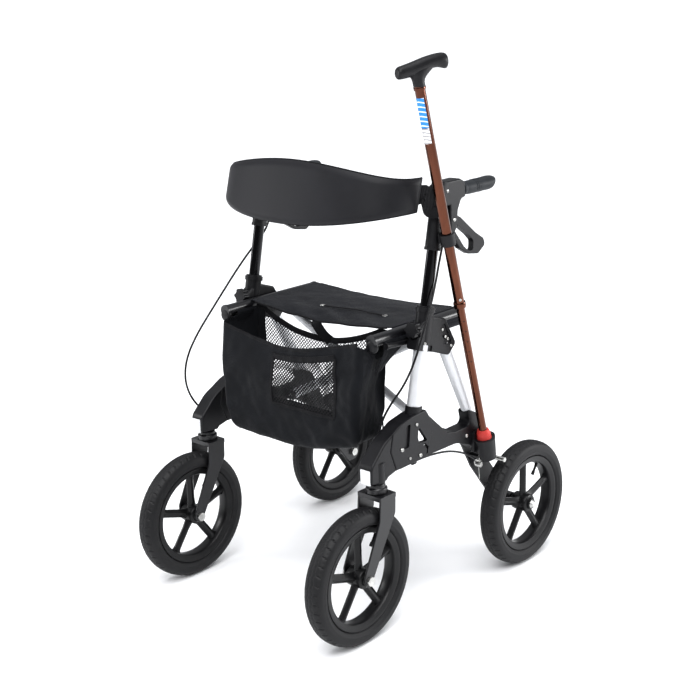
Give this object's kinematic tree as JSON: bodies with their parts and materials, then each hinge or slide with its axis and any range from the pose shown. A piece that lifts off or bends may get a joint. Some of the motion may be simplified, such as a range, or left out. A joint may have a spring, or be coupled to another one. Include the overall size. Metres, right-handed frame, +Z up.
{
  "type": "rollator walker",
  "caption": "Folding rollator walker with cross-fold frame, seat, bowed backrest, mesh shopping bag, loop brakes, pneumatic wheels and a stored walking cane.",
  "frame": {"origin": "on the floor under the middle of the walker's box", "axes": "+Z up; the front with the swivel wheels faces -Y and the user walks at +Y; +X is the user's left, where the cane is stored"},
  "size_m": [0.682, 0.844, 1.2092],
  "materials": {
    "silver_tube": "satin anodised",
    "black_plastic": "fine-grained moulding",
    "black_metal": "satin powder coat",
    "steel": "zinc plated",
    "grip_rubber": "soft-touch",
    "cable_black": "smooth casing",
    "tyre": "moulded tread",
    "rim_black": "moulded nylon",
    "seat_fabric": "woven nylon",
    "bag_fabric": "woven nylon",
    "backrest_vinyl": "smooth padded cover",
    "bronze_tube": "gloss anodised",
    "red_rubber": "moulded"
  },
  "bodies": {
    "frame_left": {"front_tube_left": "silver_tube", "rear_tube_left": "silver_tube", "seat_bracket_left": "black_plastic", "height_knob_left": "black_plastic", "front_arm_left": "black_plastic", "lower_bracket_left": "black_plastic", "axle_plate_left": "black_metal", "rear_axle_left": "steel", "brace_pin_left": "steel", "brake_cable_left": "cable_black", "cane_cup": "black_plastic", "bag": "bag_fabric"},
    "frame_right": {"front_tube_right": "silver_tube", "rear_tube_right": "silver_tube", "seat_bracket_right": "black_plastic", "height_knob_right": "black_plastic", "front_arm_right": "black_plastic", "lower_bracket_right": "black_plastic", "axle_plate_right": "black_metal", "rear_axle_right": "steel", "brace_pin_right": "steel", "brake_cable_right": "cable_black"},
    "brace_left": {"brace_left": "silver_tube", "brace_bolt": "steel"},
    "brace_right": {"brace_right": "silver_tube"},
    "rail_left": {"seat_rail_left": "black_metal", "seat_sling": "seat_fabric"},
    "rail_right": {"seat_rail_right": "black_metal"},
    "cane": {"cane_upper_tube": "bronze_tube", "cane_handle": "black_plastic"},
    "cane_lower": {"cane_lower_tube": "bronze_tube", "cane_tip": "red_rubber"},
    "post_left": {"handle_post_left": "black_metal", "post_sleeve_left": "black_plastic", "handle_head_left": "black_plastic", "grip_left": "grip_rubber", "lever_pin_left": "steel", "backrest_pad": "backrest_vinyl", "cane_clip": "black_plastic"},
    "lever_left": {"brake_lever_left": "black_plastic"},
    "shoe_left": {"brake_shoe_left": "steel"},
    "caster_left": {"caster_fork_left": "black_metal", "caster_bolts_left": "steel"},
    "front_wheel_left": {"front_wheel_left_tyre": "tyre", "front_wheel_left_rim": "rim_black"},
    "rear_wheel_left": {"rear_wheel_left_tyre": "tyre", "rear_wheel_left_rim": "rim_black"},
    "post_right": {"handle_post_right": "black_metal", "post_sleeve_right": "black_plastic", "handle_head_right": "black_plastic", "grip_right": "grip_rubber", "lever_pin_right": "steel"},
    "lever_right": {"brake_lever_right": "black_plastic"},
    "shoe_right": {"brake_shoe_right": "steel"},
    "caster_right": {"caster_fork_right": "black_metal", "caster_bolts_right": "steel"},
    "front_wheel_right": {"front_wheel_right_tyre": "tyre", "front_wheel_right_rim": "rim_black"},
    "rear_wheel_right": {"rear_wheel_right_tyre": "tyre", "rear_wheel_right_rim": "rim_black"}
  },
  "joints": [
    {"name": "fold", "type": "hinge", "parent": "frame_left", "child": "brace_left", "pos_m": [0.225, 0.033, 0.375], "axis": [0, 1, 0], "range_deg": [0, 47.8], "deforming": ["seat_sling", "bag", "backrest_pad", "brake_cable_left", "brake_cable_right"]},
    {"name": "brace_scissor", "type": "hinge", "parent": "brace_left", "child": "brace_right", "pos_m": [0, 0.03975, 0.4905], "axis": [0, 1, 0], "range_deg": [-95.6, 0]},
    {"name": "rail_right_level", "type": "hinge", "parent": "brace_left", "child": "rail_right", "pos_m": [-0.225, 0.033, 0.606], "axis": [0, 1, 0], "range_deg": [-47.8, 0]},
    {"name": "rail_left_level", "type": "hinge", "parent": "brace_right", "child": "rail_left", "pos_m": [0.225, 0.0465, 0.606], "axis": [0, 1, 0], "range_deg": [0, 47.8]},
    {"name": "frame_right_level", "type": "hinge", "parent": "brace_right", "child": "frame_right", "pos_m": [-0.225, 0.0465, 0.375], "axis": [0, 1, 0], "range_deg": [0, 47.8]},
    {"name": "handle_height_left", "type": "slide", "parent": "frame_left", "child": "post_left", "axis": [0, -0.2079, -0.9781], "range_m": [0, 0.08], "deforming": ["brake_cable_left"]},
    {"name": "brake_lever_left", "type": "hinge", "parent": "post_left", "child": "lever_left", "pos_m": [0.264, 0.05, 0.862], "axis": [1, 0, 0], "range_deg": [-12, 20], "deforming": ["brake_cable_left"]},
    {"name": "brake_shoe_left", "type": "hinge", "parent": "frame_left", "child": "shoe_left", "pos_m": [0.276, 0.15, 0.292], "axis": [1, 0, 0], "range_deg": [-5, 3], "deforming": ["brake_cable_left"]},
    {"name": "caster_swivel_left", "type": "hinge", "parent": "frame_left", "child": "caster_left", "pos_m": [0.267, -0.208, 0.345], "axis": [0, 0, 1], "continuous": true},
    {"name": "front_wheel_spin_left", "type": "hinge", "parent": "caster_left", "child": "front_wheel_left", "pos_m": [0.267, -0.272, 0.15], "axis": [1, 0, 0], "continuous": true},
    {"name": "rear_wheel_spin_left", "type": "hinge", "parent": "frame_left", "child": "rear_wheel_left", "pos_m": [0.307, 0.272, 0.15], "axis": [1, 0, 0], "continuous": true},
    {"name": "handle_height_right", "type": "slide", "parent": "frame_right", "child": "post_right", "axis": [0, -0.2079, -0.9781], "range_m": [0, 0.08], "deforming": ["brake_cable_right"]},
    {"name": "brake_lever_right", "type": "hinge", "parent": "post_right", "child": "lever_right", "pos_m": [-0.264, 0.05, 0.862], "axis": [1, 0, 0], "range_deg": [-12, 20], "deforming": ["brake_cable_right"]},
    {"name": "brake_shoe_right", "type": "hinge", "parent": "frame_right", "child": "shoe_right", "pos_m": [-0.276, 0.15, 0.292], "axis": [1, 0, 0], "range_deg": [-5, 3], "deforming": ["brake_cable_right"]},
    {"name": "caster_swivel_right", "type": "hinge", "parent": "frame_right", "child": "caster_right", "pos_m": [-0.267, -0.208, 0.345], "axis": [0, 0, 1], "continuous": true},
    {"name": "front_wheel_spin_right", "type": "hinge", "parent": "caster_right", "child": "front_wheel_right", "pos_m": [-0.267, -0.272, 0.15], "axis": [1, 0, 0], "continuous": true},
    {"name": "rear_wheel_spin_right", "type": "hinge", "parent": "frame_right", "child": "rear_wheel_right", "pos_m": [-0.307, 0.272, 0.15], "axis": [1, 0, 0], "continuous": true},
    {"name": "cane_lift", "type": "slide", "parent": "frame_left", "child": "cane", "axis": [0, -0.2612, 0.9653], "range_m": [0, 0.12]},
    {"name": "cane_length", "type": "slide", "parent": "cane", "child": "cane_lower", "axis": [0, -0.2612, 0.9653], "range_m": [0, 0.1]}
  ],
  "couplings": [
    {"joint": "brace_scissor", "follows": "fold", "ratio": -2},
    {"joint": "rail_right_level", "follows": "fold", "ratio": -1},
    {"joint": "rail_left_level", "follows": "fold", "ratio": 1},
    {"joint": "frame_right_level", "follows": "fold", "ratio": 1},
    {"joint": "handle_height_right", "follows": "handle_height_left", "ratio": 1},
    {"joint": "brake_shoe_left", "follows": "brake_lever_left", "ratio": -0.25},
    {"joint": "brake_shoe_right", "follows": "brake_lever_right", "ratio": -0.25}
  ]
}
